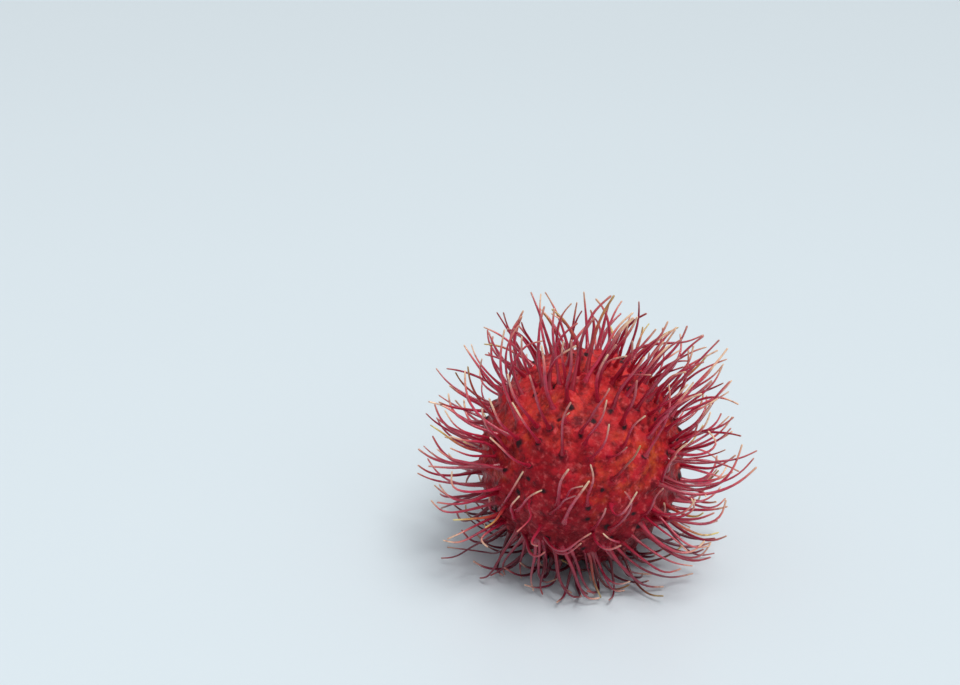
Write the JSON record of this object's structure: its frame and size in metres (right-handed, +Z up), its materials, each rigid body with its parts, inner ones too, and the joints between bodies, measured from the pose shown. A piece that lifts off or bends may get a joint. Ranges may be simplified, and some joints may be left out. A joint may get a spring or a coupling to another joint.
{
  "type": "rambutan",
  "caption": "Whole ripe rambutan: an oval red fruit covered all over in long soft curling spines, resting on its side.",
  "frame": {"origin": "middle of the small flat spot that the fruit rests on", "axes": "+Z up, away from the resting surface; -Y towards the blossom end, which also points up a little; the stalk scar is on the +Y side; +X to the right as seen from the blossom end"},
  "size_m": [0.058, 0.0625, 0.0503],
  "materials": {
    "skin": "satin"
  },
  "bodies": {
    "root": {"rambutan": "skin"}
  },
  "joints": []
}
